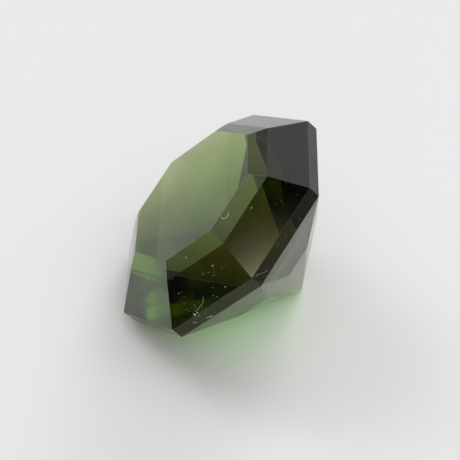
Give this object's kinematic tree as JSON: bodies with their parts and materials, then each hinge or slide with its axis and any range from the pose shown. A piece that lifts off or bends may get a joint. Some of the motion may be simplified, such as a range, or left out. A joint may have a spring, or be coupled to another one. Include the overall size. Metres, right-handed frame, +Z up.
{
  "type": "faceted tourmaline",
  "caption": "Loose cut and polished green gemstone with an octagonal outline, a stepped crown, a broad polished girdle and a pointed pavilion, lying on one pavilion facet.",
  "frame": {"origin": "Centre of the stone's footprint, on the surface that it rests on.", "axes": "+Z up from the surface. The stone's point aims along +X and its table leans over towards -X. The table's axis lies in the XZ plane."},
  "size_m": [0.0062, 0.008, 0.0059],
  "materials": {
    "stone": "polished, clear, dark yellowish green"
  },
  "bodies": {
    "root": {"tourmaline": "stone"}
  },
  "joints": []
}
